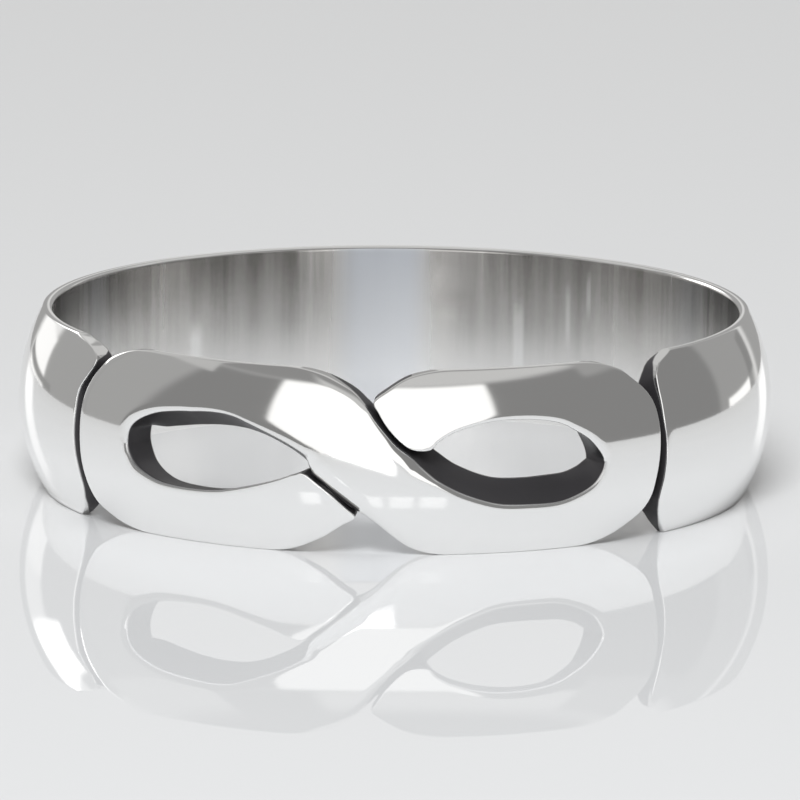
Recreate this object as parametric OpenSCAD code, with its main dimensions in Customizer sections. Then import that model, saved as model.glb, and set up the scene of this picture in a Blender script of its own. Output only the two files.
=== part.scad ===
// A half-round finger ring with an infinity sign cut and pierced into its front.
// Millimetres. The ring lies flat: its axis is Z, its lower rim is on z = 0, the sign faces -Y.

/* [Band] */
// Inside diameter, across the finger hole
finger_d = 18.2; // [15:0.1:23]
// Height of the band from rim to rim
band_w = 4.8; // [4:0.1:6]
// Wall from the finger hole to the crest of the dome
crest_t = 0.9; // [0.7:0.05:1.4]
// Wall at each rim, where the dome ends in a narrow flat
rim_t = 0.25; // [0.15:0.05:0.4]

/* [Infinity sign] */
// Length along the crest from the crossing to the far end of the left loop
left_loop_l = 9; // [7:0.1:10]
// Length along the crest from the crossing to the far end of the right loop
right_loop_l = 8.25; // [7:0.1:10]
// Slope of the walls beside the upper strand and at the shank's ends, from straight in
wall_slope = 37; // [20:1:42]
// Width of the flat left at the bottom of each groove
groove_floor = 0.04; // [0.03:0.01:0.08]

/* [Hidden] */
// Sides of the round cuts and turns
$fn = 180;
bore_r = finger_d / 2;
crest_r = bore_r + crest_t;
// The dome is one arc from rim to rim over the crest
dome_rise = crest_t - rim_t;
dome_r = (pow(band_w / 2, 2) + pow(dome_rise, 2)) / (2 * dome_rise);
// How far each cut runs past the dome and into the finger hole
overcut = 0.4;
// Points that the smooth curve gets between two rows of a table
steps = 3;

// Columns of the four tables. Each row is one section across a cut, from its sloped wall to its straight wall.
// Lengths along are shares of the loop's length from the crossing, heights are shares of band_w.
// The last two columns are shares too: of wall_slope, and of the way through the wall and past it.
SLOPED_ALONG = 0;
SLOPED_UP = 1;
STRAIGHT_ALONG = 2;
STRAIGHT_UP = 3;
SLOPE_SHARE = 4;
DEPTH_SHARE = 5;

// From the top notch down between the strands, then round the right loop's hole
right_cut = [
    [-0.270, 1.06, 0.262, 1.06, 0.3, 1],
    [-0.190, 0.993, 0.190, 1.0, 0.3, 1],
    [-0.116, 0.942, 0.118, 0.955, 0.3, 1],
    [-0.058, 0.886, 0.060, 0.897, 0.3, 1],
    [-0.025, 0.822, 0.017, 0.84, 0.35, 1],
    [0.008, 0.745, 0.032, 0.785, 0.45, 1],
    [0.039, 0.682, 0.063, 0.705, 0.5, 1],
    [0.085, 0.60, 0.108, 0.627, 0.5, 1],
    [0.132, 0.543, 0.146, 0.592, 0.7, 1],
    [0.180, 0.475, 0.195, 0.592, 0.9, 1],
    [0.225, 0.421, 0.226, 0.64, 1, 1],
    [0.304, 0.35, 0.287, 0.691, 1, 1],
    [0.412, 0.29, 0.397, 0.733, 1, 1],
    [0.518, 0.277, 0.512, 0.734, 1, 1],
    [0.616, 0.28, 0.613, 0.707, 1, 1],
    [0.685, 0.312, 0.675, 0.655, 0.8, 1],
    [0.738, 0.36, 0.723, 0.60, 0.6, 1],
    [0.765, 0.42, 0.757, 0.535, 0.3, 1],
    [0.774, 0.465, 0.772, 0.495, 0, 1]
];

// From the bottom notch up between the strands, then round the left loop's hole
left_cut = [
    [-0.240, -0.06, 0.300, -0.06, 0.3, 1],
    [-0.160, 0.01, 0.223, 0.02, 0.3, 1],
    [-0.095, 0.087, 0.138, 0.094, 0.3, 1],
    [-0.037, 0.185, 0.078, 0.168, 0.3, 1],
    [0.016, 0.283, 0.037, 0.218, 0.5, 1],
    [0.051, 0.335, 0.062, 0.27, 0.8, 1],
    [0.089, 0.395, 0.107, 0.345, 0.9, 1],
    [0.124, 0.45, 0.148, 0.405, 0.8, 1],
    [0.163, 0.502, 0.183, 0.452, 0.5, 1],
    [0.192, 0.537, 0.214, 0.445, 0.45, 1],
    [0.251, 0.596, 0.264, 0.41, 0.45, 1],
    [0.344, 0.664, 0.350, 0.363, 0.5, 1],
    [0.440, 0.718, 0.447, 0.322, 0.75, 1],
    [0.544, 0.727, 0.544, 0.313, 0.85, 1],
    [0.645, 0.703, 0.641, 0.325, 0.85, 1],
    [0.703, 0.668, 0.699, 0.36, 0.7, 1],
    [0.744, 0.624, 0.740, 0.405, 0.35, 1],
    [0.763, 0.581, 0.761, 0.46, 0, 1],
    [0.769, 0.535, 0.769, 0.505, 0, 1]
];

// Between the right loop and the shank, from the top notch to the bottom one
right_end_cut = [
    [1.180, 1.06, 0.730, 1.06, 0, 1],
    [1.115, 0.995, 0.790, 0.998, 0, 1],
    [1.045, 0.945, 0.873, 0.945, 0, 1],
    [1.022, 0.895, 0.912, 0.895, 0, 1],
    [1.015, 0.83, 0.955, 0.83, 0.3, 0.8],
    [1.016, 0.75, 0.984, 0.75, 0.3, 0.45],
    [1.018, 0.65, 0.996, 0.65, 0.3, 0.35],
    [1.023, 0.54, 0.998, 0.54, 0.3, 0.35],
    [1.023, 0.43, 0.994, 0.43, 0.3, 0.35],
    [1.021, 0.33, 0.987, 0.33, 0.3, 0.35],
    [1.016, 0.245, 0.979, 0.245, 0.3, 0.45],
    [1.022, 0.17, 0.953, 0.17, 0.3, 0.8],
    [1.045, 0.10, 0.898, 0.10, 0, 1],
    [1.090, 0.025, 0.820, 0.025, 0, 1],
    [1.160, -0.06, 0.730, -0.06, 0, 1]
];

// Between the left loop and the shank, from the top notch to the bottom one
left_end_cut = [
    [1.200, 1.06, 0.710, 1.06, 0, 1],
    [1.110, 0.995, 0.790, 1.0, 0, 1],
    [1.015, 0.957, 0.868, 0.957, 0, 1],
    [0.967, 0.92, 0.910, 0.92, 0, 1],
    [0.960, 0.87, 0.935, 0.87, 0.3, 0.8],
    [0.975, 0.81, 0.960, 0.81, 0.3, 0.45],
    [1.001, 0.72, 0.981, 0.72, 0.3, 0.35],
    [1.005, 0.61, 0.986, 0.61, 0.3, 0.35],
    [1.008, 0.49, 0.984, 0.49, 0.3, 0.35],
    [1.006, 0.38, 0.984, 0.38, 0.3, 0.35],
    [1.000, 0.28, 0.979, 0.28, 0.3, 0.35],
    [0.998, 0.19, 0.967, 0.19, 0.3, 0.5],
    [1.012, 0.12, 0.945, 0.12, 0.2, 0.9],
    [1.045, 0.06, 0.890, 0.06, 0, 1],
    [1.100, 0.0, 0.820, 0.0, 0, 1],
    [1.170, -0.06, 0.730, -0.06, 0, 1]
];

// Radius of the dome at a height
function dome_at(height) =
    let (from_crest = min(max(height, 0), band_w) - band_w / 2)
    crest_r - dome_r + sqrt(dome_r * dome_r - from_crest * from_crest);

// A point of the ring from its radius, its length along the crest and its height
function on_ring(radius, along, up) =
    let (turn = along / crest_r * 180 / PI)
    [radius * sin(turn), -radius * cos(turn), up];

// One value on the smooth curve that passes through four rows' values
function smooth(before, start, end, after, share) =
    start + share / 2 * (end - before
        + share * (2 * before - 5 * start + 4 * end - after
        + share * (3 * (start - end) + after - before)));

// The rows of a table with smooth rows put between them
function smooth_rows(rows) =
    let (last = len(rows) - 1)
    [for (row = [0:last - 1])
        for (step = [0:steps - 1])
            smooth(rows[max(row - 1, 0)], rows[row], rows[row + 1], rows[min(row + 2, last)], step / steps),
     rows[last]];

// The four corners of one section of a cut: both walls above the dome, then both at its bottom
function section(row, loop_l) =
    let (
        sloped = [row[SLOPED_ALONG] * loop_l, row[SLOPED_UP] * band_w],
        straight = [row[STRAIGHT_ALONG] * loop_l, row[STRAIGHT_UP] * band_w],
        width = norm(straight - sloped),
        across = (straight - sloped) / width,
        lean = tan(wall_slope * max(row[SLOPE_SHARE], 0)),
        dome = dome_at(sloped[1]),
        wanted = min(row[DEPTH_SHARE], 1) * (dome - bore_r + overcut),
        depth = lean * wanted < width - groove_floor ? wanted : (width - groove_floor) / lean,
        outside = sloped - across * lean * (crest_r + overcut - dome),
        bottom = sloped + across * lean * depth
    )
    [
        on_ring(crest_r + overcut, outside[0], outside[1]),
        on_ring(crest_r + overcut, straight[0], straight[1]),
        on_ring(dome - depth, straight[0], straight[1]),
        on_ring(dome - depth, bottom[0], bottom[1])
    ];

// A cut swept along its sections. loop_l is negative to the left of the crossing
module cut(rows, loop_l) {
    sections = [for (row = smooth_rows(rows)) section(row, loop_l)];
    count = len(sections);
    points = [for (corners = sections) each corners];
    walls = [for (at = [0:count - 2]) for (side = [0:3])
        let (
            a = at * 4 + side,
            b = at * 4 + (side + 1) % 4,
            c = b + 4,
            d = a + 4
        )
        each [[a, b, c], [a, c, d]]];
    first_cap = [[2, 1, 0], [3, 2, 0]];
    last_cap = [for (face = first_cap) [for (i = [2:-1:0]) face[i] + (count - 1) * 4]];
    faces = concat(walls, first_cap, last_cap);
    // Which side the sloped wall is on decides which way round the faces look outwards
    across = [(rows[0][STRAIGHT_ALONG] - rows[0][SLOPED_ALONG]) * loop_l, 0];
    onward = [0, rows[1][SLOPED_UP] - rows[0][SLOPED_UP]];
    outwards = cross(across, onward) < 0;
    polyhedron(points, outwards ? faces : [for (face = faces) [face[2], face[1], face[0]]]);
}

// The plain band: the half-round profile turned round the finger hole
module band() {
    rotate_extrude()
        intersection() {
            translate([crest_r - dome_r, band_w / 2])
                circle(r = dome_r);
            translate([bore_r, 0])
                square([crest_t + overcut, band_w]);
        }
}

module infinity_ring() {
    color("silver")
        difference() {
            band();
            cut(right_cut, right_loop_l);
            cut(left_cut, -left_loop_l);
            cut(right_end_cut, right_loop_l);
            cut(left_end_cut, -left_loop_l);
        }
}

infinity_ring();
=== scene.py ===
import math

import bmesh
import bpy
import numpy as np
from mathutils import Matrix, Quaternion, Vector
from mathutils.kdtree import KDTree


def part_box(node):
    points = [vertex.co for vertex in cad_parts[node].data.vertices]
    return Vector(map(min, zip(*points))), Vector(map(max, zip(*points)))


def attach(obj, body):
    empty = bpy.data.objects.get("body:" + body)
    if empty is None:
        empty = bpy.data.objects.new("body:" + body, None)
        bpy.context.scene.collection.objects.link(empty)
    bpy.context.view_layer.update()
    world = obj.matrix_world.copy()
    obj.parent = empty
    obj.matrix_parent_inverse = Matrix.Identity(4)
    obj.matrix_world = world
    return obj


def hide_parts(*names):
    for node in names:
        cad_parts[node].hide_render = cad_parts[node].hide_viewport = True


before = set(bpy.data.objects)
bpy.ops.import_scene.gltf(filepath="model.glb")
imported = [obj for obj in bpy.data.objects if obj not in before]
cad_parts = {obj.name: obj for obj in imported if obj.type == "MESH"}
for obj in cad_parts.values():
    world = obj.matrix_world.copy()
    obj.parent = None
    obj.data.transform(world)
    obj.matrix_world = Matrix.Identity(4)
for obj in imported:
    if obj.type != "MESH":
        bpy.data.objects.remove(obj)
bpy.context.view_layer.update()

# The camera stands low in front of the ring, a little to the right of the crossing,
# with a long lens, so that the band shows nearly without perspective.
camera_distance = 0.200
camera_azimuth = math.radians(4.0)
camera_elevation = math.radians(11.57)
camera_roll = math.radians(0.48)
aim_right = 0.00013
aim_up = 0.00218
lens_mm = 337.2

camera_data = bpy.data.cameras.new("camera")
camera_data.lens = lens_mm
camera_data.sensor_width = 36.0
camera_data.clip_start = 0.01
camera_data.clip_end = 10.0
camera = bpy.data.objects.new("camera", camera_data)
bpy.context.scene.collection.objects.link(camera)
bpy.context.scene.camera = camera
camera_level = math.cos(camera_elevation)
towards_camera = Vector((
    math.sin(camera_azimuth) * camera_level,
    -math.cos(camera_azimuth) * camera_level,
    math.sin(camera_elevation),
))
view_right = Vector((math.cos(camera_azimuth), math.sin(camera_azimuth), 0.0))
view_up = towards_camera.cross(view_right)
camera.location = towards_camera * camera_distance
aim = view_right * aim_right + view_up * aim_up
camera.rotation_mode = "QUATERNION"
facing = (aim - camera.location).to_track_quat("-Z", "Y")
camera.rotation_quaternion = facing @ Quaternion((0.0, 0.0, 1.0), camera_roll)

# The infinity ring is one casting in sterling silver: a half-round band whose front is filed
# into two crossing strands, pierced through in both loops and polished all over.
# Millimetres here, up to the last step. Lengths along are shares of a loop's length.
MM = 0.001
ring_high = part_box("infinity_ring")[1]
crest_r = ring_high.x / MM
band_w = ring_high.z / MM
bore_r = 9.1
rim_t = 0.25
left_loop_l = 9.0
right_loop_l = 8.25
wall_slope = 37.0
groove_floor = 0.04
dome_rise = crest_r - bore_r - rim_t
dome_r = ((band_w / 2) ** 2 + dome_rise ** 2) / (2 * dome_rise)
# How far the cuts run on into the finger hole, and the radius at which the bodies below end inside it
overcut = 0.4
inside_r = bore_r - overcut - 0.05
# Points that the smooth curve gets from one row of a table to the next
row_steps = 8
# Radius of the polished edges, then width and drop of the soft shoulder outside them
edge_round = 0.03
shoulder = (0.22, 0.046)
# How far from a corner of the outline its edge is eased
corner_reach = 0.55
# Depth below the dome at which the oxide starts on most walls, and a depth that no cut has
edge_oxide = 0.05
never = 9.0

# Columns: sloped wall along and up, straight wall along and up, share of the slope, share of the depth
right_cut = [
    (-0.270, 1.06, 0.262, 1.06, 0.3, 1),
    (-0.190, 0.993, 0.190, 1.0, 0.3, 1),
    (-0.116, 0.942, 0.118, 0.955, 0.3, 1),
    (-0.058, 0.886, 0.060, 0.897, 0.3, 1),
    (-0.025, 0.822, 0.017, 0.84, 0.35, 1),
    (0.008, 0.745, 0.032, 0.785, 0.45, 1),
    (0.039, 0.682, 0.063, 0.705, 0.5, 1),
    (0.085, 0.60, 0.108, 0.627, 0.5, 1),
    (0.132, 0.543, 0.146, 0.592, 0.7, 1),
    (0.180, 0.475, 0.195, 0.592, 0.9, 1),
    (0.225, 0.421, 0.226, 0.64, 1, 1),
    (0.304, 0.35, 0.287, 0.691, 1, 1),
    (0.412, 0.29, 0.397, 0.733, 1, 1),
    (0.518, 0.277, 0.512, 0.734, 1, 1),
    (0.616, 0.28, 0.613, 0.707, 1, 1),
    (0.685, 0.312, 0.675, 0.655, 0.8, 1),
    (0.738, 0.36, 0.723, 0.60, 0.6, 1),
    (0.765, 0.42, 0.757, 0.535, 0.3, 1),
    (0.774, 0.465, 0.772, 0.495, 0, 1),
]
left_cut = [
    (-0.240, -0.06, 0.300, -0.06, 0.3, 1),
    (-0.160, 0.01, 0.223, 0.02, 0.3, 1),
    (-0.095, 0.087, 0.138, 0.094, 0.3, 1),
    (-0.037, 0.185, 0.078, 0.168, 0.3, 1),
    (0.016, 0.283, 0.037, 0.218, 0.5, 1),
    (0.051, 0.335, 0.062, 0.27, 0.8, 1),
    (0.089, 0.395, 0.107, 0.345, 0.9, 1),
    (0.124, 0.45, 0.148, 0.405, 0.8, 1),
    (0.163, 0.502, 0.183, 0.452, 0.5, 1),
    (0.192, 0.537, 0.214, 0.445, 0.45, 1),
    (0.251, 0.596, 0.264, 0.41, 0.45, 1),
    (0.344, 0.664, 0.350, 0.363, 0.5, 1),
    (0.440, 0.718, 0.447, 0.322, 0.75, 1),
    (0.544, 0.727, 0.544, 0.313, 0.85, 1),
    (0.645, 0.703, 0.641, 0.325, 0.85, 1),
    (0.703, 0.668, 0.699, 0.36, 0.7, 1),
    (0.744, 0.624, 0.740, 0.405, 0.35, 1),
    (0.763, 0.581, 0.761, 0.46, 0, 1),
    (0.769, 0.535, 0.769, 0.505, 0, 1),
]
right_end_cut = [
    (1.180, 1.06, 0.730, 1.06, 0, 1),
    (1.115, 0.995, 0.790, 0.998, 0, 1),
    (1.045, 0.945, 0.873, 0.945, 0, 1),
    (1.022, 0.895, 0.912, 0.895, 0, 1),
    (1.015, 0.83, 0.955, 0.83, 0.3, 0.8),
    (1.016, 0.75, 0.984, 0.75, 0.3, 0.45),
    (1.018, 0.65, 0.996, 0.65, 0.3, 0.35),
    (1.023, 0.54, 0.998, 0.54, 0.3, 0.35),
    (1.023, 0.43, 0.994, 0.43, 0.3, 0.35),
    (1.021, 0.33, 0.987, 0.33, 0.3, 0.35),
    (1.016, 0.245, 0.979, 0.245, 0.3, 0.45),
    (1.022, 0.17, 0.953, 0.17, 0.3, 0.8),
    (1.045, 0.10, 0.898, 0.10, 0, 1),
    (1.090, 0.025, 0.820, 0.025, 0, 1),
    (1.160, -0.06, 0.730, -0.06, 0, 1),
]
left_end_cut = [
    (1.200, 1.06, 0.710, 1.06, 0, 1),
    (1.110, 0.995, 0.790, 1.0, 0, 1),
    (1.015, 0.957, 0.868, 0.957, 0, 1),
    (0.967, 0.92, 0.910, 0.92, 0, 1),
    (0.960, 0.87, 0.935, 0.87, 0.3, 0.8),
    (0.975, 0.81, 0.960, 0.81, 0.3, 0.45),
    (1.001, 0.72, 0.981, 0.72, 0.3, 0.35),
    (1.005, 0.61, 0.986, 0.61, 0.3, 0.35),
    (1.008, 0.49, 0.984, 0.49, 0.3, 0.35),
    (1.006, 0.38, 0.984, 0.38, 0.3, 0.35),
    (1.000, 0.28, 0.979, 0.28, 0.3, 0.35),
    (0.998, 0.19, 0.967, 0.19, 0.3, 0.5),
    (1.012, 0.12, 0.945, 0.12, 0.2, 0.9),
    (1.045, 0.06, 0.890, 0.06, 0, 1),
    (1.100, 0.0, 0.820, 0.0, 0, 1),
    (1.170, -0.06, 0.730, -0.06, 0, 1),
]


def dome_at(height):
    """Radius of the dome at a height, for one height or an array of them."""
    from_crest = np.clip(height, 0, band_w) - band_w / 2
    return crest_r - dome_r + np.sqrt(dome_r ** 2 - from_crest ** 2)


def on_ring(along, up, radius):
    """The place in space of a point given by its length along the crest, its height and its radius."""
    turn = along / crest_r
    return radius * math.sin(turn), -radius * math.cos(turn), up


def smooth_rows(rows):
    """The rows of a table as an array, with smooth rows put between them."""
    rows = np.array(rows, float)
    last = len(rows) - 1
    made = []
    for at in range(last):
        before, start, end, after = (rows[i] for i in (max(at - 1, 0), at, at + 1, min(at + 2, last)))
        for step in range(row_steps):
            share = step / row_steps
            bend = 3 * (start - end) + after - before
            turn = 2 * before - 5 * start + 4 * end - after
            made.append(start + share / 2 * (end - before + share * (turn + share * bend)))
    made.append(rows[last])
    return np.array(made)


# Columns of a wall, which has one row for each place along its cut
ALONG, UP, LEAN, FOOT_ALONG, FOOT_UP, FOOT_RADIUS, OXIDE_FROM, SOFT_WIDTH, SOFT_DROP = range(9)
foot_in_plan = slice(FOOT_ALONG, FOOT_UP + 1)
foot_in_space = slice(FOOT_ALONG, FOOT_RADIUS + 1)
soft_shoulder = slice(SOFT_WIDTH, SOFT_DROP + 1)


def walls_of(rows, loop_l, sloped_oxide, straight_oxide, flank, lip, undercut=((0, 0.0),)):
    """Both walls of a cut. The last five arguments give values at rows of its table: the depth below the
    dome at which dark oxide starts on each wall, the sloped edge's shift with the width and drop of its
    shoulder, the straight edge's shoulder, and how far the straight wall's foot is undercut."""
    sloped, straight = [], []

    def value(at, pairs, column=1):
        return np.interp(at / row_steps, [pair[0] for pair in pairs], [pair[column] for pair in pairs])

    for at, row in enumerate(smooth_rows(rows)):
        sloped_along, sloped_up, straight_along, straight_up, slope_share, depth_share = row
        high = np.array((sloped_along * loop_l, sloped_up * band_w))
        far = np.array((straight_along * loop_l, straight_up * band_w))
        width = np.linalg.norm(far - high)
        across = (far - high) / width
        lean = math.tan(math.radians(wall_slope * max(slope_share, 0)))
        dome = dome_at(high[1])
        depth = min(depth_share, 1) * (dome - bore_r + overcut)
        if lean * depth > width - groove_floor:
            depth = (width - groove_floor) / lean
        foot = high + across * lean * depth
        shift = min(value(at, flank), width - groove_floor)
        edge = high + across * shift
        lean = max(lean * depth - shift, 0) / depth
        foot = foot if lean > 0 else edge
        soft = (value(at, flank, 2), value(at, flank, 3))
        sloped.append((*edge, lean, *foot, dome - depth, value(at, sloped_oxide), *soft))
        back = value(at, undercut)
        soft = (value(at, lip, 1), value(at, lip, 2))
        straight.append((*far, 0, far[0], far[1] - back, dome - depth, value(at, straight_oxide), *soft))
    return np.array(sloped), np.array(straight)


def within_band(wall):
    """A wall without what runs past the rims, cut exactly at them."""
    kept = []
    for here, there in zip(wall[:-1], wall[1:]):
        inside = 0 <= here[UP] <= band_w
        if inside:
            kept.append(here)
        if inside != (0 <= there[UP] <= band_w):
            rim_up = 0 if min(here[UP], there[UP]) < 0 else band_w
            share = (rim_up - here[UP]) / (there[UP] - here[UP])
            point = here + share * (there - here)
            point[UP] = rim_up
            kept.append(point)
    if 0 <= wall[-1][UP] <= band_w:
        kept.append(wall[-1])
    return np.array(kept)


rim_step = 0.1


def rim_at(places, up):
    """Rows of a wall at places along the band's flat rim, straight in to the finger hole and clean."""
    return np.array([(at, up, 0, at, up, inside_r, never, shoulder[0], 0) for at in places])


def rim(start, end, up):
    """The band's flat rim from one length along to another."""
    count = max(2, int(abs(end - start) / rim_step))
    return rim_at(np.linspace(start, end, count + 1)[1:-1], up)


def joined(*parts):
    """One edge from several walls and rims in a row, with the corners between them eased."""
    line = np.concatenate(parts)
    for joint in np.cumsum([len(part) for part in parts])[:-1]:
        away = np.linalg.norm(line[:, :2] - line[joint - 1, :2], axis=1)
        first = joint - 1
        while first > 0 and away[first] < corner_reach:
            first -= 1
        last = joint
        while last < len(line) - 1 and away[last] < corner_reach:
            last += 1
        corner = line[joint - 1].copy()
        span = np.linspace(0, 1, last - first + 1)[:, None]
        line[first:last + 1] = (
            (1 - span) ** 2 * line[first] + 2 * span * (1 - span) * corner + span ** 2 * line[last]
        )
    return line


def by_length(line, shares):
    """Points of a line at shares of its length."""
    lengths = np.concatenate(([0], np.cumsum(np.linalg.norm(np.diff(line[:, :2], axis=0), axis=1))))
    at = np.asarray(shares) * lengths[-1]
    return np.stack([np.interp(at, lengths, line[:, column]) for column in range(line.shape[1])], axis=1)


def drop_from_edge(points, outline):
    """How far the polished edge lies below the dome at each point, from its distance to the outline."""
    start, end = outline[:, :2], np.roll(outline[:, :2], -1, axis=0)
    run = end - start
    length2 = np.maximum((run ** 2).sum(1), 1e-12)
    drops = np.zeros(len(points))
    batch = 2000
    for first in range(0, len(points), batch):
        part = points[first:first + batch, None, :] - start[None]
        share = np.clip((part * run[None]).sum(2) / length2, 0, 1)
        distance2 = ((part - share[..., None] * run[None]) ** 2).sum(2)
        nearest = distance2.argmin(1)
        distance = np.sqrt(distance2[np.arange(len(nearest)), nearest])
        lean = outline[nearest, LEAN]
        steepest = math.pi / 2 - np.arctan(lean)
        lip = edge_round * (1 - np.sin(steepest))
        turn = np.arcsin(np.clip(1 - distance / edge_round, 0, 1))
        arc = edge_round * (1 - np.cos(np.minimum(turn, steepest)))
        below = np.where(distance < lip, (lip - distance) / np.maximum(lean, 1e-6), 0)
        along = share[np.arange(len(nearest)), nearest][:, None]
        after = np.roll(outline[:, soft_shoulder], -1, axis=0)[nearest]
        soft = outline[nearest, soft_shoulder] * (1 - along) + after * along
        slump = soft[:, 1] * np.clip(1 - distance / soft[:, 0], 0, 1) ** 2
        drops[first:first + batch] = arc + below + slump
    return drops


# Distances of the rows of faces beside an edge, where the polish rounds it, and rows of faces down a wall
edge_rows = np.array((0, 0.0015, 0.005, 0.011, 0.019, 0.03, 0.055, 0.085, 0.12, 0.16, 0.21, 0.27))
wall_rows = 3
# Points of a body's grid that lie closer than this are one point
grid_weld = 1e-5


def rows_across(widths, middle_rows):
    """Shares across, one line for each width: close together beside both edges, even in the middle."""
    widths = np.asarray(widths)[:, None]
    near = edge_rows[None] / widths
    gap = 1 - 2 * near[:, -1:]
    middle = near[:, -1:] + gap * np.linspace(0, 1, middle_rows + 2)[None, 1:-1]
    return np.concatenate((near, middle, 1 - near[:, ::-1]), axis=1)


def closed_body(name, grid):
    """A closed body from a grid of points along, up and radius, which wraps round it like a sleeve."""
    count_u, count_v = grid.shape[0], grid.shape[1] + 1
    bm = bmesh.new()
    bmesh.ops.create_grid(bm, x_segments=count_u - 1, y_segments=count_v - 1, size=1)
    for vert in bm.verts:
        u = round((vert.co.x + 1) / 2 * (count_u - 1))
        v = round((vert.co.y + 1) / 2 * (count_v - 1)) % (count_v - 1)
        vert.co = on_ring(*grid[u, v])
    bmesh.ops.remove_doubles(bm, verts=bm.verts, dist=grid_weld)
    open_edges = [edge for edge in bm.edges if edge.is_boundary]
    bmesh.ops.holes_fill(bm, edges=open_edges, sides=0)
    bmesh.ops.recalc_face_normals(bm, faces=bm.faces)
    mesh = bpy.data.meshes.new(name)
    bm.to_mesh(mesh)
    bm.free()
    body = bpy.data.objects.new(name, mesh)
    bpy.context.scene.collection.objects.link(body)
    return body


def cushion(name, plan, outline, rims):
    """A closed body on the band: its top lies on the dome with rounded edges, its walls go in to the
    finger hole. plan is its grid of points along and up; rims are the four walls round it."""
    count_u, count_v = plan.shape[:2]
    drops = drop_from_edge(plan.reshape(-1, 2), outline).reshape(count_u, count_v)
    radius = dome_at(plan[..., 1]) - drops
    deep = wall_rows + 1
    full = np.zeros((count_u + 2 * deep, count_v + 2 * deep, 3))
    full[deep:-deep, deep:-deep, :2] = plan
    full[deep:-deep, deep:-deep, 2] = radius
    first_v, last_v, first_u, last_u = rims

    def go_down(edge, wall, step):
        foot = wall[:, foot_in_space]
        if step == deep:
            return np.concatenate((foot[:, :2], np.full((len(foot), 1), inside_r)), axis=1)
        return edge + (foot - edge) * step / wall_rows

    for step in range(1, deep + 1):
        full[deep:-deep, deep - step] = go_down(full[deep:-deep, deep], first_v, step)
        full[deep:-deep, -1 - deep + step] = go_down(full[deep:-deep, -1 - deep], last_v, step)
        full[deep - step, deep:-deep] = go_down(full[deep, deep:-deep], first_u, step)
        full[-1 - deep + step, deep:-deep] = go_down(full[-1 - deep, deep:-deep], last_u, step)
    for corner_u, corner_v in ((0, 0), (0, -1), (-1, 0), (-1, -1)):
        for a in range(1, deep + 1):
            for b in range(1, deep + 1):
                u = deep - a if corner_u == 0 else -1 - deep + a
                v = deep - b if corner_v == 0 else -1 - deep + b
                along_v = full[deep if corner_u == 0 else -1 - deep, v]
                along_u = full[u, deep if corner_v == 0 else -1 - deep]
                full[u, v] = along_v if b >= a else along_u
    return closed_body(name, full)


def share_at(line, point):
    """The share of a line's length at which it passes nearest to a point."""
    lengths = np.concatenate(([0], np.cumsum(np.linalg.norm(np.diff(line[:, :2], axis=0), axis=1))))
    nearest = np.linalg.norm(line[:, :2] - np.array(point), axis=1).argmin()
    return lengths[nearest] / lengths[-1]


# How each cut's edges and walls are finished, along the rows of its table. A sharp edge has no shoulder
sharp = (0.2, 0.0)
left_sloped, left_straight = walls_of(
    left_cut,
    -left_loop_l,
    sloped_oxide=((0, 0.5), (7, 0.5), (8, 0.25), (8.7, 0.02), (11, 0.02), (13, edge_oxide)),
    straight_oxide=((0, edge_oxide), (9, edge_oxide), (11, 0.02), (17, 0.03), (18, edge_oxide)),
    undercut=((8, 0.0), (9, 0.14), (15, 0.14), (17, 0.0)),
    flank=(
        (0, 0, *shoulder), (3, 0.08, *shoulder), (4.2, 0.22, 0.5, 0.17), (7.5, 0.23, 0.5, 0.16),
        (8.3, 0, 0.4, 0.1), (9, -0.12, 0.2, 0.03), (11.5, -0.13, 0.2, 0.03), (13, 0, *shoulder),
        (16, 0, 0.3, 0.06),
    ),
    lip=((0, *sharp), (9, *sharp), (11, 0.2, 0.03), (13, *shoulder), (16, 0.3, 0.08), (17, 0.2, 0.09)),
)
right_sloped, right_straight = walls_of(
    right_cut,
    right_loop_l,
    sloped_oxide=(
        (0, 0.4), (1.5, 0.3), (3, 0.1), (7, 0.1), (8, 0.14), (9, 0.1), (10, 0.055), (12.5, 0.05),
        (14, 0.03), (18, 0.02),
    ),
    straight_oxide=((0, edge_oxide),),
    undercut=((12, 0.0), (14, -0.2), (16, -0.3), (17, -0.15), (18, 0.0)),
    flank=(
        (0, 0, *shoulder), (2, 0.04, 0.2, 0.04), (4, 0.1, 0.22, 0.05), (6.5, 0.08, 0.25, 0.07),
        (8.5, 0.05, 0.4, 0.16), (10, 0.0, 0.18, 0.085), (12.5, 0.0, 0.18, 0.08), (14, 0, 0.2, 0.07),
        (18, 0, *shoulder),
    ),
    lip=((0, *sharp), (8, *sharp), (10, 0.1, 0.02), (13, *shoulder)),
)
left_end_sloped, left_end_straight = walls_of(
    left_end_cut,
    -left_loop_l,
    sloped_oxide=((0, 0.5), (2.5, 0.5), (3.5, 0.02), (12, 0.02), (13.2, 0.1), (14.5, 0.3), (15, 0.5)),
    straight_oxide=((0, 0.3), (2.5, 0.3), (3.5, 0.02), (12, 0.02), (13.5, 0.3)),
    flank=((0, 0, *sharp), (3, 0, *sharp), (6, -0.1, *sharp), (12, -0.1, *sharp), (13, 0, *sharp)),
    lip=((0, *sharp), (1.2, *sharp), (2.2, *shoulder), (6, *shoulder), (8, *sharp)),
)
right_end_sloped, right_end_straight = walls_of(
    right_end_cut,
    right_loop_l,
    sloped_oxide=((0, 0.3), (1.5, 0.25), (2.5, 0.1), (4, 0.1), (7, 0.02), (12, 0.02), (14, 0.2)),
    straight_oxide=((0, 0.02),),
    flank=(
        (0, 0, *sharp), (3, 0, *sharp), (4.5, -0.03, 0.25, 0.05), (6.5, -0.04, 0.28, 0.05),
        (8, -0.04, *sharp), (11, -0.04, *sharp), (12, 0, *sharp),
    ),
    lip=((0, *sharp),),
)

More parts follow.
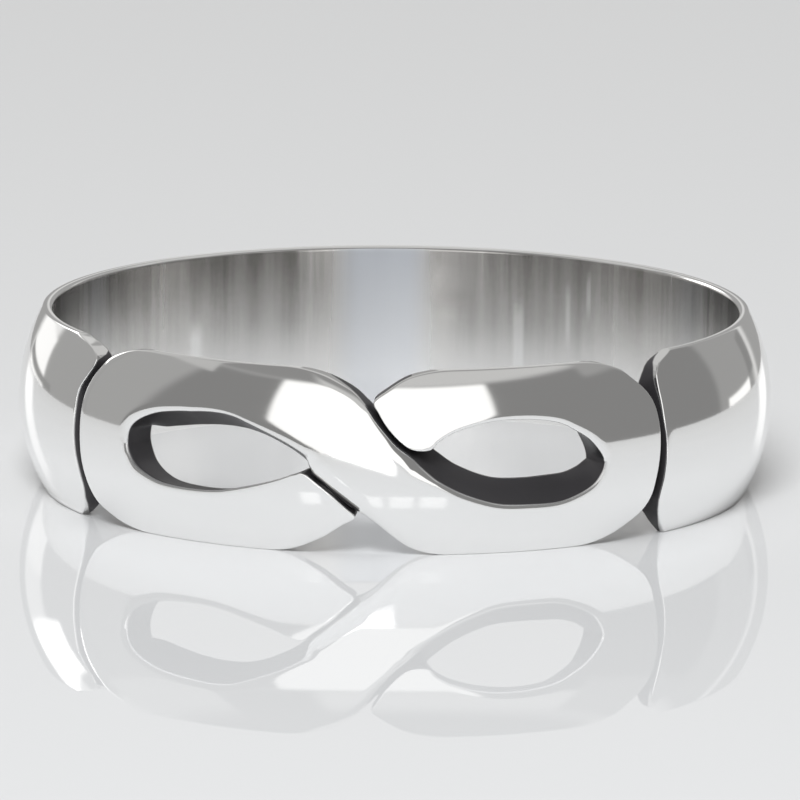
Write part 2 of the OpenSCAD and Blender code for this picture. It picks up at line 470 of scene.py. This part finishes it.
# Rows of the tables where the lower strand starts at the notch and ends at the hole
notch_row = 4 * row_steps
hole_row = 8 * row_steps
left_notch = within_band(left_straight[:notch_row + 1])[::-1]
left_end = within_band(left_end_straight)[::-1]
top_notch = within_band(right_sloped)
bottom_notch = within_band(left_sloped)[::-1]
right_end = within_band(right_end_straight)[::-1]
right_notch = within_band(right_straight[:notch_row + 1])
# Both edges of the strand, which runs from under the crossing round the left loop, over the
# crossing and round the right loop, and ends under the crossing again
outer_edge = np.concatenate((
    joined(
        left_notch,
        rim(left_notch[-1][ALONG], left_end[0][ALONG], 0),
        left_end,
        rim(left_end[-1][ALONG], top_notch[0][ALONG], band_w),
        top_notch,
    ),
    right_straight[hole_row:][::-1],
))
inner_edge = np.concatenate((
    left_straight[hole_row:],
    joined(
        bottom_notch,
        rim(bottom_notch[-1][ALONG], right_end[0][ALONG], 0),
        right_end,
        rim(right_end[-1][ALONG], right_notch[0][ALONG], band_w),
        right_notch,
    ),
))
strand_start = left_straight[notch_row:hole_row + 1]
strand_end = right_straight[notch_row:hole_row + 1][::-1]
# Pairs of points that face each other across the strand: outer along and up, inner along and up
facing_pairs = [
    (-2.2, 0.0, -2.7, 1.85),
    (-4.9, 0.0, -4.6, 1.51),
    (-7.4, 0.0, -6.0, 1.63),
    (-8.86, 2.4, -6.92, 2.5),
    (-7.1, 4.8, -5.85, 3.36),
    (-4.5, 4.8, -4.3, 3.46),
    (-1.57, 4.8, -1.9, 2.69),
    (0.5, 3.14, -0.5, 1.66),
    (1.9, 2.06, 1.5, 0.0),
    (4.25, 1.33, 4.3, 0.0),
    (5.7, 1.5, 6.9, 0.14),
    (6.38, 2.3, 8.22, 2.4),
    (5.6, 3.12, 6.7, 4.73),
    (4.2, 3.52, 4.2, 4.8),
    (2.06, 3.17, 1.67, 4.8),
]
outer_shares = [0, *(share_at(outer_edge, pair[:2]) for pair in facing_pairs), 1]
inner_shares = [0, *(share_at(inner_edge, pair[2:]) for pair in facing_pairs), 1]
# Points on the line through the pairs, and how many on each side of one ease it
fine_points = 4001
eased_over = 80
# Size of the strand's faces along it, rows of them in its middle, and where its ends' own shape fades
strand_step = 0.08
strand_middle_rows = 24
end_fade = 1.5


def strand_plan():
    """The strand's grid of points along and up, its two long walls and its two end walls."""
    fine = np.linspace(0, len(outer_shares) - 1, fine_points)
    keys = np.arange(len(outer_shares))
    soft = np.hanning(2 * eased_over + 1)
    soft /= soft.sum()

    def eased(shares):
        line = np.interp(fine, keys, shares)
        before = 2 * line[0] - line[eased_over:0:-1]
        after = 2 * line[-1] - line[-2:-eased_over - 2:-1]
        return np.convolve(np.concatenate((before, line, after)), soft, "valid")

    outer_at, inner_at = eased(outer_shares), eased(inner_shares)
    outer_line, inner_line = by_length(outer_edge, outer_at), by_length(inner_edge, inner_at)
    middle = (outer_line[:, :2] + inner_line[:, :2]) / 2
    lengths = np.concatenate(([0], np.cumsum(np.linalg.norm(np.diff(middle, axis=0), axis=1))))
    total = lengths[-1]
    inside = np.linspace(edge_rows[-1], total - edge_rows[-1], int(total / strand_step))
    stations = np.concatenate((edge_rows[:-1], inside, total - edge_rows[-2::-1]))
    outer_wall = by_length(outer_edge, np.interp(stations, lengths, outer_at))
    inner_wall = by_length(inner_edge, np.interp(stations, lengths, inner_at))
    outer_plan, inner_plan = outer_wall[:, None, :2], inner_wall[:, None, :2]
    widths = np.linalg.norm(inner_plan - outer_plan, axis=2)[:, 0]
    shares = rows_across(widths, strand_middle_rows)
    plan = outer_plan + shares[..., None] * (inner_plan - outer_plan)
    # Near its two ends the grid follows the grooves beside the upper strand
    ends = []
    for wall, line, from_end in ((strand_start, plan[0], stations), (strand_end, plan[-1], total - stations)):
        end_wall = by_length(wall, shares[0] if wall is strand_start else shares[-1])
        bulge = end_wall[:, :2] - line
        fade = np.clip(1 - from_end / end_fade, 0, 1) ** 2
        plan = plan + fade[:, None, None] * bulge[None]
        ends.append(end_wall)
    return plan, outer_wall, inner_wall, ends[0], ends[1]


plan, outer_wall, inner_wall, start_wall, end_wall = strand_plan()
outline = np.concatenate((outer_edge, strand_end[1:], inner_edge[::-1][1:], strand_start[::-1][1:-1]))
strand = cushion("infinity_strand", plan, outline, (outer_wall, inner_wall, start_wall, end_wall))

# The shank is the plain half-round band behind the sign. A narrow groove parts it from each loop,
# and its ends are rounded at the notches in the rims.
round_length = 2 * math.pi * crest_r
# Size of the shank's faces round it, and rows of them from rim to rim
shank_step = 0.12
shank_middle_rows = 36
# Length of the finer rows at each of its ends, and how many there are past those beside the edge
end_length = 1.0
end_rows = 8


def shank_plan():
    """The shank's grid of points along and up, from the right groove round the back to the left one."""
    right, left = within_band(right_end_sloped)[::-1], within_band(left_end_sloped)[::-1]
    left[:, (ALONG, FOOT_ALONG)] += round_length
    heights = rows_across((band_w,), shank_middle_rows)[0] * band_w
    right_wall, left_wall = (
        np.stack([np.interp(heights, wall[:, UP], column) for column in wall.T], axis=1)
        for wall in (right, left)
    )
    near = np.concatenate((edge_rows, np.linspace(edge_rows[-1], end_length, end_rows + 1)[1:]))
    length = (left_wall[:, ALONG] - right_wall[:, ALONG])[None]
    far = near[-1]
    count = int(length.min() / shank_step)
    middle = far + (length - 2 * far) * np.linspace(0, 1, count)[1:-1, None]
    near = np.repeat(near[:, None], len(heights), axis=1)
    stations = np.concatenate((near, middle, length - near[::-1]))
    along = right_wall[None, :, ALONG] + stations
    plan = np.stack((along, np.repeat(heights[None], len(along), axis=0)), axis=2)
    low, high = rim_at(along[:, 0], 0), rim_at(along[:, -1], band_w)
    outline = np.concatenate((right_wall, high[1:-1], left_wall[::-1], low[::-1][1:-1]))
    return plan, outline, (low, high, right_wall, left_wall)


shank_grid, shank_outline, shank_walls = shank_plan()
shank = cushion("infinity_shank", shank_grid, shank_outline, shank_walls)

# The grooves' floors are what the cuts leave of the casting where they stop short of the finger hole.
# They join the strands and the shank, and reach a little into both.
floor_reach = 0.12


def groove_floors(name, sloped, straight):
    """A bar under a cut, as high as the cut's floor, which reaches a little into both of its walls."""
    across = straight[:, foot_in_plan] - sloped[:, foot_in_plan]
    across = across / np.linalg.norm(across, axis=1, keepdims=True)
    from_side = sloped[:, foot_in_plan] - across * floor_reach
    to_side = straight[:, foot_in_plan] + across * floor_reach
    floor_r = sloped[:, FOOT_RADIUS]
    deep_r = np.full(len(floor_r), inside_r)
    corners = ((from_side, floor_r), (to_side, floor_r), (to_side, deep_r), (from_side, deep_r))
    grid = np.stack([np.column_stack((side, radius)) for side, radius in corners], axis=1)
    return closed_body(name, grid)


floors = [
    groove_floors("right_cut_floor", right_sloped, right_straight),
    groove_floors("left_cut_floor", left_sloped, left_straight),
    groove_floors("right_end_floor", right_end_sloped, right_end_straight),
    groove_floors("left_end_floor", left_end_sloped, left_end_straight),
]

# The finger hole is turned through the casting last, and its rims are eased, the upper one more.
low_round, high_round = 0.015, 0.12
round_steps = 6
bore_facets = 720
past_rim = 1.0
bm = bmesh.new()
profile = [(bore_r + low_round, -past_rim)]
for rim_up, towards, size in ((0, 1, low_round), (band_w, -1, high_round)):
    turns = [math.pi / 2 * step / round_steps for step in range(round_steps + 1)]
    arc = [
        (bore_r + size * (1 - math.sin(turn)), rim_up + towards * size * (1 - math.cos(turn)))
        for turn in turns
    ]
    profile += arc[::towards]
profile.append((bore_r + high_round, band_w + past_rim))
verts = [bm.verts.new((radius, 0, up)) for radius, up in profile]
edges = [bm.edges.new(pair) for pair in zip(verts[:-1], verts[1:])]
bmesh.ops.spin(
    bm, geom=verts + edges, cent=(0, 0, 0), axis=(0, 0, 1), angle=2 * math.pi,
    steps=bore_facets, use_merge=True, use_duplicate=False,
)
bmesh.ops.holes_fill(bm, edges=[edge for edge in bm.edges if edge.is_boundary], sides=0)
bmesh.ops.recalc_face_normals(bm, faces=bm.faces)
bore_mesh = bpy.data.meshes.new("bore")
bm.to_mesh(bore_mesh)
bm.free()
bore = bpy.data.objects.new("bore", bore_mesh)
bpy.context.scene.collection.objects.link(bore)

# All of it becomes the one casting. Points closer than casting_weld are one point, and an edge stays
# crisp where its faces turn by more than crease_angle.
casting_weld = 1e-4
crease_angle = math.radians(32)
strand.name = "infinity_ring_polished"
ring = strand
for operation, other in (*(("UNION", body) for body in (shank, *floors)), ("DIFFERENCE", bore)):
    boolean = ring.modifiers.new(other.name, "BOOLEAN")
    boolean.operation = operation
    boolean.object = other
    boolean.solver = "MANIFOLD"
bpy.context.view_layer.update()
merged = bpy.data.meshes.new_from_object(ring.evaluated_get(bpy.context.evaluated_depsgraph_get()))
ring.modifiers.clear()
ring.data = merged
for other in (shank, *floors, bore):
    bpy.data.objects.remove(other)
bm = bmesh.new()
bm.from_mesh(merged)
bmesh.ops.remove_doubles(bm, verts=bm.verts, dist=casting_weld)
bmesh.ops.recalc_face_normals(bm, faces=bm.faces)
for face in bm.faces:
    face.smooth = True
for edge in bm.edges:
    edge.smooth = edge.is_manifold and edge.calc_face_angle(0) < crease_angle
bmesh.ops.scale(bm, vec=(MM, MM, MM), verts=bm.verts)
bm.to_mesh(merged)
bm.free()
# Each point keeps the depth at which the oxide starts on the edge next to it
edges_round = np.concatenate((outline, shank_outline))
edge_places = KDTree(len(edges_round))
for at, point in enumerate(edges_round):
    edge_places.insert(on_ring(point[ALONG], point[UP], crest_r), at)
edge_places.balance()
oxide_from = []
for vert in merged.vertices:
    spot = vert.co / MM
    out = crest_r / math.hypot(spot.x, spot.y)
    nearest = edge_places.find((spot.x * out, spot.y * out, spot.z))[1]
    oxide_from.append(edges_round[nearest][OXIDE_FROM])
merged.attributes.new("oxide_from", "FLOAT", "POINT").data.foreach_set("value", oxide_from)
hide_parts("infinity_ring")
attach(ring, "root")

# Polished sterling silver. The outside is a mirror with faint polishing lines, the finger hole has a
# softer satin shine with streaks from rim to rim, and dark oxide is left in the grooves and on the
# walls of the loops' holes.
silver = bpy.data.materials.new("polished_silver")
silver.use_nodes = True
silver_tree = silver.node_tree
silver_colour = (0.93, 0.93, 0.925, 1)
oxide_colour = (0.065, 0.062, 0.066, 1)


def value_node(tree, operation, *values):
    """A Math node whose inputs are numbers or other nodes' outputs. Gives its output."""
    node = tree.nodes.new("ShaderNodeMath")
    node.operation = operation
    for socket, value in zip(node.inputs, values):
        if isinstance(value, (int, float)):
            socket.default_value = value
        else:
            tree.links.new(value, socket)
    return node.outputs[0]


def all_of(tree, *shares):
    """1 where every share is 1, and 0 where one of them is 0."""
    product = shares[0]
    for share in shares[1:]:
        product = value_node(tree, "MULTIPLY", product, share)
    return product


def between(tree, value, low, high, smooth=True):
    """0 below low, 1 above high and a soft step between them. low above high gives the reverse."""
    node = tree.nodes.new("ShaderNodeMapRange")
    node.interpolation_type = "SMOOTHSTEP" if smooth else "LINEAR"
    node.inputs["From Min"].default_value = min(low, high)
    node.inputs["From Max"].default_value = max(low, high)
    node.inputs["To Min"].default_value = 0.0 if low < high else 1.0
    node.inputs["To Max"].default_value = 1.0 if low < high else 0.0
    tree.links.new(value, node.inputs["Value"])
    return node.outputs["Result"]


def mixed(tree, share, first, second, kind="RGBA"):
    """A colour, or with kind FLOAT a number, between two of them or between two nodes' outputs."""
    # A Mix node has its own sockets for each kind of value
    first_socket, result = (6, 2) if kind == "RGBA" else (2, 0)
    node = tree.nodes.new("ShaderNodeMix")
    node.data_type = kind
    sockets = (node.inputs["Factor"], node.inputs[first_socket], node.inputs[first_socket + 1])
    for socket, value in zip(sockets, (share, first, second)):
        if isinstance(value, (tuple, float, int)):
            socket.default_value = value
        else:
            tree.links.new(value, socket)
    return node.outputs[result]


place = silver_tree.nodes.new("ShaderNodeTexCoord").outputs["Object"]
split = silver_tree.nodes.new("ShaderNodeSeparateXYZ")
silver_tree.links.new(place, split.inputs[0])
place_x, place_y, place_z = split.outputs
x_square = value_node(silver_tree, "POWER", place_x, 2)
y_square = value_node(silver_tree, "POWER", place_y, 2)
out = value_node(silver_tree, "SQRT", value_node(silver_tree, "ADD", x_square, y_square))
radius = value_node(silver_tree, "DIVIDE", out, MM)
height = value_node(silver_tree, "DIVIDE", place_z, MM)
from_crest = value_node(silver_tree, "SUBTRACT", height, band_w / 2)
crest_square = value_node(silver_tree, "POWER", from_crest, 2)
dome_square = value_node(silver_tree, "SUBTRACT", dome_r ** 2, crest_square)
dome = value_node(silver_tree, "ADD", value_node(silver_tree, "SQRT", dome_square), crest_r - dome_r)
below_dome = value_node(silver_tree, "SUBTRACT", dome, radius)
# The hole's finish ends within these distances of its wall, and the oxide comes in over these depths
finish_ends = (0.005, 0.03)
oxide_depths = (-0.01, 0.05)
outside_hole = between(silver_tree, radius, bore_r + finish_ends[0], bore_r + finish_ends[1])
in_hole = value_node(silver_tree, "SUBTRACT", 1.0, outside_hole)
oxide_start = silver_tree.nodes.new("ShaderNodeAttribute")
oxide_start.attribute_name = "oxide_from"
into_oxide = value_node(silver_tree, "SUBTRACT", below_dome, oxide_start.outputs["Fac"])
oxide = all_of(silver_tree, between(silver_tree, into_oxide, *oxide_depths), outside_hole)


def drawn_out(stretch, fineness, detail, roughness):
    """Noise that is drawn out along the directions in which its scale is small, as polishing leaves it."""
    mapping = silver_tree.nodes.new("ShaderNodeMapping")
    mapping.inputs["Scale"].default_value = stretch
    silver_tree.links.new(place, mapping.inputs["Vector"])
    noise = silver_tree.nodes.new("ShaderNodeTexNoise")
    noise.inputs["Scale"].default_value = fineness
    noise.inputs["Detail"].default_value = detail
    noise.inputs["Roughness"].default_value = roughness
    silver_tree.links.new(mapping.outputs[0], noise.inputs["Vector"])
    return noise.outputs["Fac"]


# The finger hole's streaks run from rim to rim, and the outside's polishing lines run round the ring
streaks = drawn_out((1.0, 1.0, 0.03), fineness=1300.0, detail=5.0, roughness=0.65)
lines = drawn_out((0.05, 0.05, 1.0), fineness=9000.0, detail=4.0, roughness=0.5)

# The finger hole's wall has painted shade that deepens towards the upper rim, darkest between lighter
# streaks. A painted cool sheen, the reflection of light coming through the top notch, lies on the middle of
# its back, with a painted shade stripe beside it and four narrow painted highlights further off.
streak = between(silver_tree, streaks, 0.35, 0.70, smooth=False)
upper_shade = between(silver_tree, height, 1.2, 4.6, smooth=False)
shade_between_streaks = all_of(silver_tree, upper_shade, value_node(silver_tree, "SUBTRACT", 1.0, streak))
at_back = value_node(silver_tree, "GREATER_THAN", place_y, 0.0)
stripe_end_fade = 0.4


def back_stripe(middle, half, soft, low, high):
    """1 on an upright stripe of the hole's back wall and 0 beside it, in millimetres."""
    x = value_node(silver_tree, "DIVIDE", place_x, MM)
    away = value_node(silver_tree, "ABSOLUTE", value_node(silver_tree, "SUBTRACT", x, middle))
    return all_of(
        silver_tree,
        between(silver_tree, away, half + soft, half),
        at_back,
        between(silver_tree, height, low - stripe_end_fade, low + stripe_end_fade),
        between(silver_tree, height, high + stripe_end_fade, high - stripe_end_fade),
    )


# Colours of the painted sheen, a painted reflection of the light through the top notch, low and high on the
# wall
painted_sheen_low, painted_sheen_high = (0.92, 0.94, 0.97, 1), (0.60, 0.63, 0.68, 1)
# The satin's colour low on the wall and with painted shade at the top, and the painted shade between the
# streaks
satin_low, satin_shaded_top = (0.93, 0.925, 0.915, 1), (0.74, 0.73, 0.715, 1)
upper_shade_colour = (0.42, 0.41, 0.397, 1)
# Colour of the painted shade stripe
shade_stripe_colour = (0.52, 0.51, 0.50, 1)
# Colour and places of the painted highlights, narrow bright stripes on the back wall
highlight_stripe_colour = (0.97, 0.97, 0.96, 1)
highlight_stripes = (
    (4.78, 0.03, 0.06, 3.3, 4.3),
    (2.8, 0.08, 0.12, 0.6, 3.2),
    (4.2, 0.02, 0.08, 2.4, 3.8),
    (-6.0, 0.05, 0.2, 0.5, 2.8),
)
# Painted sheen: the light through the top notch as the back wall mirrors it, painted into the colour
painted_sheen = back_stripe(-1.0, 0.6, 1.0, -1.0, 6.0)
# Painted shade: a darker stripe of the back wall's reflection, beside the sheen
shade_stripe = back_stripe(0.95, 0.1, 0.8, 3.2, 6.0)
hole_colour = mixed(silver_tree, shade_between_streaks, mixed(silver_tree, upper_shade, satin_low, satin_shaded_top), upper_shade_colour)
hole_colour = mixed(silver_tree, painted_sheen, hole_colour, mixed(silver_tree, upper_shade, painted_sheen_low, painted_sheen_high))
hole_colour = mixed(silver_tree, shade_stripe, hole_colour, shade_stripe_colour)
# The painted highlights laid over the wall
for stripe in highlight_stripes:
    hole_colour = mixed(silver_tree, back_stripe(*stripe), hole_colour, highlight_stripe_colour)
metal_colour = mixed(silver_tree, in_hole, silver_colour, hole_colour)

# The least roughness of the outside and of the hole, what their lines, streaks and the painted sheen's patch
# add to it, and the oxide's roughness and how much less metallic it is
outside_least, lines_add = 0.05, 0.04
hole_least, streaks_add, sheen_adds = 0.08, 0.30, 0.2
oxide_roughness, oxide_metal_loss = 0.38, 0.4
streak_relief = 0.00002
shader = silver_tree.nodes["Principled BSDF"]
metallic = value_node(silver_tree, "MULTIPLY_ADD", oxide, -oxide_metal_loss, 1.0)
outside_rough = value_node(silver_tree, "MULTIPLY_ADD", lines, lines_add, outside_least)
hole_rough = value_node(silver_tree, "MULTIPLY_ADD", streaks, streaks_add, hole_least)
hole_rough = value_node(silver_tree, "MULTIPLY_ADD", painted_sheen, sheen_adds, hole_rough)
metal_rough = mixed(silver_tree, in_hole, outside_rough, hole_rough, kind="FLOAT")
rough = mixed(silver_tree, oxide, metal_rough, oxide_roughness, kind="FLOAT")
bump = silver_tree.nodes.new("ShaderNodeBump")
bump.inputs["Strength"].default_value = 0.25
bump.inputs["Distance"].default_value = streak_relief
silver_tree.links.new(all_of(silver_tree, streaks, in_hole), bump.inputs["Height"])
silver_tree.links.new(metallic, shader.inputs["Metallic"])
silver_tree.links.new(rough, shader.inputs["Roughness"])
silver_tree.links.new(mixed(silver_tree, oxide, metal_colour, oxide_colour), shader.inputs["Base Color"])
silver_tree.links.new(bump.outputs[0], shader.inputs["Normal"])
ring.data.materials.clear()
ring.data.materials.append(silver)

# The floor is a pale sheet with a clear gloss, which mirrors the ring faintly. The silver mirrors it
# only as far as the sheet's edge, 50 mm from the ring's middle, and the room below the horizon past it.
sheet_reach = 0.050
sheet_edge = 0.002
floor_half = 3.0
bm = bmesh.new()
bmesh.ops.create_grid(bm, x_segments=1, y_segments=1, size=floor_half)
floor_mesh = bpy.data.meshes.new("floor")
bm.to_mesh(floor_mesh)
bm.free()
floor = bpy.data.objects.new("floor", floor_mesh)
bpy.context.scene.collection.objects.link(floor)
sheet = bpy.data.materials.new("glossy_white_sheet")
sheet.use_nodes = True
sheet_tree = sheet.node_tree
gloss = sheet_tree.nodes["Principled BSDF"]
gloss.inputs["Base Color"].default_value = (0.80, 0.80, 0.805, 1)
gloss.inputs["Roughness"].default_value = 0.0
gloss.inputs["IOR"].default_value = 1.35
from_middle = sheet_tree.nodes.new("ShaderNodeVectorMath")
from_middle.operation = "LENGTH"
sheet_place = sheet_tree.nodes.new("ShaderNodeTexCoord").outputs["Object"]
sheet_tree.links.new(sheet_place, from_middle.inputs[0])
past_sheet = between(
    sheet_tree, from_middle.outputs["Value"], sheet_reach - sheet_edge, sheet_reach + sheet_edge,
)
in_silver = sheet_tree.nodes.new("ShaderNodeLightPath").outputs["Is Glossy Ray"]
clear = sheet_tree.nodes.new("ShaderNodeBsdfTransparent")
ends = sheet_tree.nodes.new("ShaderNodeMixShader")
sheet_tree.links.new(all_of(sheet_tree, past_sheet, in_silver), ends.inputs[0])
sheet_tree.links.new(gloss.outputs[0], ends.inputs[1])
sheet_tree.links.new(clear.outputs[0], ends.inputs[2])
sheet_tree.links.new(ends.outputs[0], sheet_tree.nodes["Material Output"].inputs["Surface"])
floor.data.materials.append(sheet)

# A weak soft light hangs overhead and a stronger one in front, above the camera. They light the sheet
# and aren't mirrored.
for name, shape, size, energy, place_at in (
    ("overhead", "DISK", 0.5, 0.74, (0.0, 0.0, 0.5)),
    ("front", "SQUARE", 0.24, 3.38, (-0.03, -0.44, 0.41)),
):
    light_data = bpy.data.lights.new(name, "AREA")
    light_data.shape = shape
    light_data.size = size
    light_data.energy = energy
    light_data.color = (0.97, 0.988, 1.0)
    lamp = bpy.data.objects.new(name, light_data)
    lamp.location = place_at
    lamp.rotation_mode = "QUATERNION"
    lamp.rotation_quaternion = Vector(place_at).to_track_quat("Z", "Y")
    lamp.visible_glossy = False
    bpy.context.scene.collection.objects.link(lamp)

# A plain room as the ring mirrors it: pale behind, dim grey walls at the sides, and one wide soft window
# in front. The camera itself sees a plain pale surround, and so does the floor's own mirror image. Rays
# that the floor's gloss has turned see brighter windows.
world = bpy.data.worlds.new("studio")
bpy.context.scene.world = world
world.use_nodes = True
room = world.node_tree
direction = room.nodes.new("ShaderNodeSeparateXYZ")
room.links.new(room.nodes.new("ShaderNodeTexCoord").outputs["Generated"], direction.inputs[0])
east, north, upward = direction.outputs
south = value_node(room, "MULTIPLY", north, -1.0)
azimuth = value_node(room, "DEGREES", value_node(room, "ARCTAN2", east, south))
elevation = value_node(room, "DEGREES", value_node(room, "ARCSINE", upward))
turned = value_node(room, "ABSOLUTE", azimuth)


def panel(from_azimuth, to_azimuth, bottom, top, soft):
    """1 inside a panel of the room and 0 outside it, with soft borders, in degrees."""
    return all_of(
        room,
        between(room, azimuth, from_azimuth, from_azimuth + soft),
        between(room, azimuth, to_azimuth, to_azimuth - soft),
        between(room, elevation, bottom, bottom + soft),
        between(room, elevation, top, top - soft),
    )


def lit(share, below, light):
    """The room's light, with a lighter or darker part where share is 1."""
    return value_node(room, "MULTIPLY_ADD", share, value_node(room, "SUBTRACT", light, below), below)


# Walls at the sides, seen near the ring's silhouettes
left_wall = panel(-140.0, -104.0, -90.0, 90.0, 4.0)
left_wall_slant = value_node(room, "MULTIPLY_ADD", elevation, -0.45, azimuth)
left_wall_end = all_of(
    room, between(room, left_wall_slant, -80.0, -86.0), between(room, azimuth, -108.0, -104.0),
)
right_wall = between(room, azimuth, 119.0, 123.0)
# The pale back of the room, with its lamps, and the darker middle of it
left_back = between(room, azimuth, -131.0, -136.0)
right_back = between(room, azimuth, 146.0, 153.0)
left_lamp = panel(-151.0, -132.0, -6.0, 9.0, 2.0)
high_left_lamp = panel(-160.0, -122.0, 16.0, 31.0, 2.0)
right_lamp = panel(126.0, 144.0, -4.5, -0.8, 1.0)
left_gap = panel(-152.0, -126.0, -4.0, -1.2, 1.0)
right_gap = panel(143.0, 150.0, -2.0, 9.0, 1.5)
middle_back = between(room, turned, 152.0, 157.0)
straight_behind = between(room, turned, 150.0, 155.0)
door = all_of(
    room, straight_behind, between(room, elevation, -7.0, -5.0), between(room, elevation, 46.0, 40.0),
)
# A narrow light strip in the middle of the back, a few degrees off the ring's own axis
strip_turn = math.radians(4.0)
sideways = value_node(
    room, "MULTIPLY_ADD", east, math.cos(strip_turn),
    value_node(room, "MULTIPLY", north, math.sin(strip_turn)),
)
strip = all_of(
    room,
    between(room, value_node(room, "ABSOLUTE", sideways), 0.048, 0.032),
    between(room, elevation, -8.0, -5.0),
    straight_behind,
)
# The ceiling, what is darker under it at both sides, and the dark top of the room
ceiling = between(room, elevation, 37.0, 40.5)
ceiling_left = panel(-114.0, -62.0, 33.5, 70.0, 1.5)
ceiling_front = all_of(room, panel(-64.0, -8.0, 37.5, 70.0, 2.5), between(room, azimuth, -19.0, -27.0))
ceiling_right = panel(70.0, 123.0, 30.0, 52.0, 4.0)
dark_top = all_of(
    room, between(room, elevation, 46.0, 58.0), between(room, turned, 110.0, 95.0),
    between(room, elevation, 78.0, 70.0),
)
# The window in front, cut off aslant at its lower left corner
window_corner = between(room, value_node(room, "ADD", azimuth, elevation), -23.0, -21.0)
window = all_of(room, panel(-37.0, 37.0, -40.0, 39.5, 2.5), window_corner)
wall_light, back_light, ceiling_light, top_light, window_light = 0.235, 0.86, 0.57, 0.28, 1.13
light = wall_light
for part, part_light in (
    (left_wall, 0.37),
    (left_wall_end, 0.375),
    (right_wall, 0.34),
    (left_back, back_light),
    (right_back, back_light),
    (left_lamp, 1.05),
    (high_left_lamp, 2.2),
    (middle_back, 0.58),
    (door, 0.36),
    (right_gap, 0.26),
    (strip, 0.66),
    (right_lamp, 1.1),
    (left_gap, 0.30),
    (ceiling, ceiling_light),
    (ceiling_left, 0.50),
    (ceiling_front, 0.27),
    (ceiling_right, 0.34),
    (window, window_light),
    (dark_top, top_light),
):
    light = lit(part, light, part_light)

# What rays see that come off the floor's gloss: the aslant main window, two side lamps and small panes
floor_light, floor_window_light, side_lamp_light, pane_light = 0.6, 4.5, 1.6, 4.0
pane_height, pane_soft = 8.0, 0.8
slant = value_node(room, "MULTIPLY_ADD", azimuth, -0.66, elevation)
floor_window = all_of(room, between(room, slant, 15.0, 13.5), between(room, azimuth, 5.0, 3.0))
off_floor = lit(floor_window, floor_light, floor_window_light)
off_floor = lit(panel(-154.0, -140.0, 3.0, 23.0, 4.0), off_floor, side_lamp_light)
off_floor = lit(panel(150.0, 164.0, 3.0, 17.0, 4.0), off_floor, side_lamp_light)
for left, right, bottom in ((-8.0, 0.5, 30.0), (2.0, 10.5, 30.0), (12.0, 21.5, 30.0), (-27.0, -20.0, 28.0)):
    off_floor = lit(panel(left, right, bottom, bottom + pane_height, pane_soft), off_floor, pane_light)

# The light that each kind of ray meets. The light that the room itself gives off is weak and plain
path = room.nodes.new("ShaderNodeLightPath")
singular = path.outputs["Is Singular Ray"]
diffuse_light = 0.12
light = lit(singular, light, off_floor)
light = lit(path.outputs["Is Diffuse Ray"], light, diffuse_light)
grey = room.nodes.new("ShaderNodeCombineColor")
for socket, share in zip(grey.inputs, (1.0, 0.993, 0.98)):
    room.links.new(value_node(room, "MULTIPLY", light, share), socket)
first_bounce = value_node(room, "LESS_THAN", path.outputs["Ray Depth"], 1.5)
floor_mirror = all_of(room, singular, first_bounce)
plain = value_node(room, "MAXIMUM", path.outputs["Is Camera Ray"], floor_mirror)
low_surround, high_surround = (0.37, 0.378, 0.385, 1), (0.62, 0.625, 0.63, 1)
surround = mixed(room, between(room, elevation, 8.0, 15.0, smooth=False), low_surround, high_surround)
seen = mixed(room, plain, grey.outputs[0], surround)
room.links.new(seen, room.nodes["Background"].inputs["Color"])
bpy.context.scene.view_settings.view_transform = "Standard"
